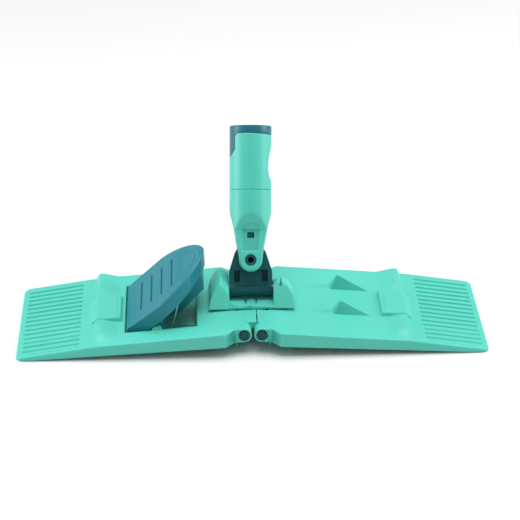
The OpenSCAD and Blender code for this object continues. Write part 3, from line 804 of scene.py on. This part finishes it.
def fork_half_shell(front):
    """Front or back half: a grid over (t, angle) whose height is the depth, closed at depth 0 or,
    along the tongue, at the slot's face 8 mm out."""
    turn = np.linspace(-math.pi / 2, 0, 14)
    ts = np.concatenate([10.7 * np.sin(turn), np.arange(0.6, 6.6, 0.6), np.arange(6.6, 19.2, 0.35),
                         [SLOT_TOP - 0.02, SLOT_TOP + 0.02], np.arange(19.8, 38.5, 0.35),
                         np.arange(39, 62, 1.2), [62.4, 62.7, 63]])
    side = np.concatenate([[0, 0.03, 0.07, 0.12, 0.18, 0.26], np.linspace(0.34, math.pi / 2, 52)])
    angle = np.concatenate([-math.pi / 2 + side, (math.pi / 2 - side)[:-1][::-1]])
    t, a = np.meshgrid(ts, angle, indexing="ij")
    x = np.maximum(fork_half(t), 0.3) * np.sin(a)
    d = fork_depth(x, t)
    if front:
        recess, cut = fork_recess(x, t)
        d = d + (np.minimum(recess, d) - d) * cut
    low = np.where(t < SLOT_TOP, SLOT_HALF, 0)
    sign = 1 if front else -1
    middle = [(q[:-1, :-1] + q[1:, 1:]) / 2 for q in (x, t)]
    keep = np.hypot(*middle) > 5.25
    top = socket_place(x, sign * np.maximum(d, low), t)
    points, faces = slab(top, socket_place(x, sign * low, t), keep, under=middle[1] < SLOT_TOP + 0.01)
    return points, faces if front else [face[::-1] for face in faces]


front, back = fork_half_shell(True), fork_half_shell(False)
points = np.concatenate([front[0], back[0]])
faces = front[1] + [[k + len(front[0]) for k in face] for face in back[1]]
socket_fork = piece("socket_fork_moulding", [(points, faces)])
socket_fork.data.materials.append(turquoise)
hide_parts("socket_fork")
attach(socket_fork, "socket")


# ---- Socket shell ------------------------------------------------------------------------------
# Upper half of the socket: a turquoise sleeve over the liner, cut away on the left for the liner's
# tongue and on the right for the long oval window of the release button. Its top edge waves.

def around_handle(r, angle, t):
    """Cylinder about the handle: angle 0 points right and a quarter turn points to the front."""
    return socket_place(r * np.cos(angle), r * np.sin(angle), t)


def top_wave(angle):
    """Height added to the sleeve's top edge: one low swell to the front left."""
    return 0.9 * np.cos(angle - 2.2)


def window_half(t):
    """Half angle of the oval window along its length: widest low down, never quite closed."""
    place = np.clip((t - 71.9) / 31, 0, 1)
    place = place ** 0.72
    return np.maximum(0.58 * np.sqrt(np.maximum(1 - (2 * place - 1) ** 2, 0)) ** 1.15, 0.05)


def tongue_half(t, gap=0.0):
    """Half angle of the cut on the left: a rounded foot at 92.3, then even, then a flare into the
    collar above."""
    foot = np.sqrt(np.clip((t - 92.2 - gap) / 7.5, 0, 1))
    flare = 1 - np.sqrt(1 - np.clip((t - 108.5) / 4.5, 0, 1) ** 2)
    return np.maximum(math.radians(40) * foot + 0.24 * flare, 0.05) - gap / 19


def warp_columns(unit, at, half, reach):
    """Moves the columns at +-at to +-half, and stretches the ones between them and reach."""
    inside = unit / at * half
    outside = np.sign(unit) * (half + (np.abs(unit) - at) * (reach - half) / (reach - at))
    return np.where(np.abs(unit) <= at + 1e-4, inside, np.where(np.abs(unit) < reach, outside, unit))


ts = np.unique(np.round(np.concatenate([[63.15, 63.2, 63.35, 63.6, 64.2, 66, 68.5, 71, 71.6],
                                        np.linspace(71.9, 77.2, 22),
                                        np.arange(78, 92, 1.5), 92.2 + 7.5 * np.linspace(0, 1, 16) ** 2,
                                        np.linspace(100, 102.9, 12), [103.3, 105, 107, 108.5],
                                        108.5 + 4.5 * np.sin(np.linspace(0.1, 1.35, 10)),
                                        [112.7, 112.9, 113]]), 3))
rim = np.array([0.25, 0.5, 0.75, 0.9, 1.0, 1.02, 1.05, 1.1])
right_cols = np.concatenate([-0.3 * rim[::-1], [0], 0.3 * rim])
left_cols = math.pi + np.concatenate([-0.7 * rim[::-1], [0], 0.7 * rim])
base = np.sort(np.concatenate([right_cols, left_cols, np.linspace(0.37, math.pi - 0.8, 36),
                               np.linspace(math.pi + 0.8, 2 * math.pi - 0.37, 36)]))
t, a = np.meshgrid(ts, np.append(base, base[0] + 2 * math.pi), indexing="ij")
on_right = (a + math.pi) % (2 * math.pi) - math.pi
on_left = a - math.pi
angle = np.where(np.abs(on_right) < 1.3, warp_columns(on_right, 0.3, window_half(t), 1.3), a)
angle = np.where(np.abs(on_left) < 1.3, math.pi + warp_columns(on_left, 0.7, tongue_half(t), 1.3), angle)
rise = t + top_wave(angle) * ease((t - 103) / 10)
near = np.minimum(t - 63.15, 113 - t)
beside = np.where((t > 71.8) & (t < 103), np.abs(angle - np.round(angle / (2 * math.pi)) * 2 * math.pi), 9)
beside = np.abs(beside - window_half(t)) * 19
beside = np.minimum(beside, np.where(t > 92, np.abs(np.abs(angle - math.pi) - tongue_half(t)) * 19, 9))
outer = 19 - 0.8 * fillet(near, 0.7) - 0.7 * fillet(beside, 0.6)
mid = [(q[:-1, :-1] + q[1:, 1:]) / 2 for q in (t, on_right, on_left)]
keep = ~((mid[0] > 71.9) & (mid[0] < 102.9) & (np.abs(mid[1]) < 0.3))
keep &= ~((mid[0] > 92.2) & (np.abs(mid[2]) < 0.7))
sleeve = slab(around_handle(outer, angle, rise), around_handle(16.0, angle, rise), keep, wrap=True)
shell = piece("socket_shell_moulding", [sleeve])
shell.data.materials.append(turquoise)
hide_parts("socket_shell")
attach(shell, "socket")


# ---- Pole liner --------------------------------------------------------------------------------
# Petrol polypropylene liner that grips the pole: a tube inside the sleeve, a waved collar on top
# and a tongue that fills the sleeve's cut on the left. A flat pocket and a hole take the button.

def liner_skin(angle, t):
    """Outer radius of the tube: 15.8, cut to a flat 12.9 mm out where the button lies."""
    off = np.abs((angle + math.pi) % (2 * math.pi) - math.pi)
    flat = 12.9 / np.maximum(np.cos(off), 0.3)
    return np.where((off < 0.45) & (t > 70.4) & (t < 104.4), np.minimum(15.8, flat), 15.8)


angle = np.append(np.linspace(0.2, 2 * math.pi - 0.2, 90), [0.449, 0.451, -0.449, -0.451])
angle = np.sort(np.concatenate([angle % (2 * math.pi), [0, 0.178, 2 * math.pi - 0.178, 2 * math.pi]]))
out_t = np.array([46.3, 46.6, 70.35, 70.45, 85.1, 89.7, 104.35, 104.45, 113.25])
t, a = np.meshgrid(out_t, angle, indexing="ij")
off = np.abs((a + math.pi) % (2 * math.pi) - math.pi)
hole = (np.maximum(off[:-1, :-1], off[1:, 1:]) < 0.19) & (t[:-1, :-1] > 85) & (t[1:, 1:] < 89.8)
parts = [slab(around_handle(liner_skin(a, t), a, t), around_handle(12.2, a, t), ~hole, wrap=True)]
a = np.linspace(0, 2 * math.pi, 128, endpoint=False)[:, None]
loop = [(18.5, 113.25, 1), (18.9, 113.6, 1), (19, 114.1, 1), (19, 120.0, 0), (18.8, 120.6, 0), (18.2, 121, 0),
        (12.9, 121, 0), (12.2, 120.4, 0), (12.2, 113.25, 0), (15.5, 113.25, 1)]
r, up, wave = (np.array([p[k] for p in loop])[None] for k in range(3))
parts.append(tube(around_handle(r + 0 * a, a, up + wave * top_wave(a)), closed=True))
ts = np.unique(np.round(np.concatenate([92.5 + 7.5 * np.linspace(0, 1, 18) ** 2, np.arange(101, 108.5, 1.5),
                                        108.5 + 4.5 * np.sin(np.linspace(0.1, 1.45, 12)), [113.6]]), 3))
cols = np.concatenate([[-1, -0.98, -0.95, -0.9], np.linspace(-0.82, 0.82, 26), [0.9, 0.95, 0.98, 1]])
t, c = np.meshgrid(ts, cols, indexing="ij")
half = tongue_half(t, 0.28)
edge = np.minimum((1 - np.abs(c)) * half * 19, (t - 92.5) * 2)
skin = 19 - 0.8 * fillet(edge, 0.8)
rise = t + top_wave(math.pi + c * half) * ease((t - 103) / 10)
parts.append(slab(around_handle(skin, math.pi + c * half, rise),
                  around_handle(15.5, math.pi + c * half, rise),
                  np.ones((len(ts) - 1, len(cols) - 1), bool)))
liner = piece("pole_liner_moulding", parts)
collar_petrol = moulded_plastic("collar_petrol", (0.006, 0.145, 0.205), (0.005, 0.13, 0.185), 0.36)
liner.data.materials.append(collar_petrol)
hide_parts("pole_liner")
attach(liner, "socket")


# ---- Release button ----------------------------------------------------------------------------
# Petrol push button in the sleeve's oval window: pressing it frees the pole. Its face is barrel
# shaped with five finger ribs, on two small leaf springs.

ts = np.concatenate([[70.6, 70.7, 70.9, 71.3], np.arange(71.8, 103.2, 0.4), [103.5, 103.9, 104.1, 104.2]])
ys = np.concatenate([[-6, -5.9, -5.7, -5.3], np.linspace(-4.8, 4.8, 25), [5.3, 5.7, 5.9, 6]])
t, y = np.meshgrid(ts, ys, indexing="ij")
edge = np.minimum(6 - np.abs(y), np.minimum(t - 70.6, 104.2 - t))
ribs = 0.35 * ease((np.cos((t - 87.4) * math.pi / 2.2) - 0.1) / 0.8) * (np.abs(t - 87.4) < 6.2)
face = np.sqrt(15.66 ** 2 - y ** 2) - 0.6 * fillet(edge, 0.9) - 0.4 + ribs * ease((4.2 - np.abs(y)) / 0.8)
face = np.maximum(face, 14.05)
parts = [slab(socket_place(face, y, t), socket_place(np.full(t.shape, 13.87), y, t),
              np.ones((len(ts) - 1, len(ys) - 1), bool))]
stem = turned([(0, 12.4), (1.7, 12.4), (2, 12.7), (2, 14.2), (0, 14.2)], 32, "x")
parts.append(tube(socket_place(stem[..., 0], stem[..., 1], 87.4 + stem[..., 2]), closed=True))
button = piece("release_button_moulding", parts)
button.data.materials.append(collar_petrol)
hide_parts("release_button")
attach(button, "button")


# ---- Steel parts, washers and centre link ------------------------------------------------------
# Zinc-plated axles, push-on rings, screws and springs, two grey nylon friction washers, and the
# turquoise link under the bracket that both hinge pins pass through.

def plated_steel(name):
    """Zinc plate on drawn steel: fine lines along x in gloss and relief, with cloudy passivation."""
    material, shader, place = new_material(name)
    drawn = place.node("ShaderNodeMapping", Vector=place, Scale=(90.0, 2600.0, 2600.0))
    lines = place.node("ShaderNodeTexNoise", Vector=drawn, Scale=1.0, Detail=2.0)
    cloud = place.node("ShaderNodeTexNoise", Vector=place, Scale=160.0, Detail=3.0)
    tint = cloud.band(0.35, 0.7).mix((0.55, 0.56, 0.58, 1), (0.66, 0.65, 0.62, 1))
    plug(shader, Base_Color=tint, Metallic=1.0, Roughness=0.22 + lines * 0.16 + (cloud - 0.5) * 0.1,
         Normal=place.node("ShaderNodeBump", Strength=0.25, Distance=0.00005, Height=lines))
    return material


steel = plated_steel("zinc_plated_steel")
washer_grey = moulded_plastic("grey_nylon", (0.052, 0.056, 0.060), (0.045, 0.048, 0.052), 0.55)
for name in ("hinge_pin_clips", "bracket_screws", "pedal_axle", "pedal_axle_clips", "pedal_springs",
             "yoke_axle", "yoke_pin_clip", "friction_washers", "button_spring", "hinge_link"):
    finish = {"friction_washers": washer_grey, "hinge_link": turquoise}.get(name, steel)
    for place in frame["nodes"][name].material_slots:
        place.material = finish


# ---- Floor, light and camera -------------------------------------------------------------------
# A plain pale floor under the two wing tips, a white room and large soft lamps.

steps = np.linspace(-1, 1, 41)
u, v = np.meshgrid(steps, steps, indexing="ij")
far = np.sign(v) * np.abs(v) ** 1.5 * 6000
sheet_points = np.stack([np.sign(u) * np.abs(u) ** 1.5 * 6000, far, u * 0 - 0.05], -1)
grid = np.arange(41 * 41).reshape(41, 41)
sheet_faces = np.stack([grid[:-1, :-1], grid[1:, :-1], grid[1:, 1:], grid[:-1, 1:]], -1).reshape(-1, 4)
floor = piece("floor", [(sheet_points.reshape(-1, 3), sheet_faces.tolist())], solid=False)
material, shader, place = new_material("pale_floor")
dust = place.node("ShaderNodeTexNoise", Vector=place, Scale=3.0, Detail=2.0)
plug(shader, Base_Color=dust.band(0.3, 0.7).mix((0.78, 0.78, 0.78, 1), (0.80, 0.80, 0.80, 1)),
     Roughness=0.9, Specular_IOR_Level=0.1)
floor.data.materials.append(material)

world = bpy.data.worlds.new("white_room")
bpy.context.scene.world = world
world.use_nodes = True
world.node_tree.nodes["Background"].inputs["Color"].default_value = (1, 1, 1, 1)
world.node_tree.nodes["Background"].inputs["Strength"].default_value = 0.40


def lamp(name, place, aim, size, power):
    """A square soft lamp at place, turned to shine on aim, both in metres."""
    data = bpy.data.lights.new(name, "AREA")
    data.energy, data.size = power, size
    made = bpy.data.objects.new(name, data)
    bpy.context.scene.collection.objects.link(made)
    made.location = place
    made.rotation_euler = (Vector(aim) - Vector(place)).to_track_quat("-Z", "Y").to_euler()
    return made


lamp("key_lamp", (0.1, 0.25, 2.05), (0, 0, 0.02), 1.4, 34)
lamp("left_lamp", (-1.8, 0.0, 0.5), (0, 0, 0.08), 0.9, 17)
lamp("right_lamp", (1.8, 0.0, 0.7), (0, 0, 0.08), 0.9, 16)

target = Vector((8.317, -8.651, 62.454)) / 1000
camera_data = bpy.data.cameras.new("main_camera")
camera_data.lens, camera_data.sensor_width = 138.96, 36
camera_data.clip_start, camera_data.clip_end = 0.05, 50
camera = bpy.data.objects.new("main_camera", camera_data)
bpy.context.scene.collection.objects.link(camera)
camera.location = target + 1.8033 * Vector((-0.03545, -0.8903, 0.45399))
camera.rotation_euler = (target - camera.location).to_track_quat("-Z", "Y").to_euler()
bpy.context.scene.camera = camera
bpy.context.scene.view_settings.view_transform = "Standard"
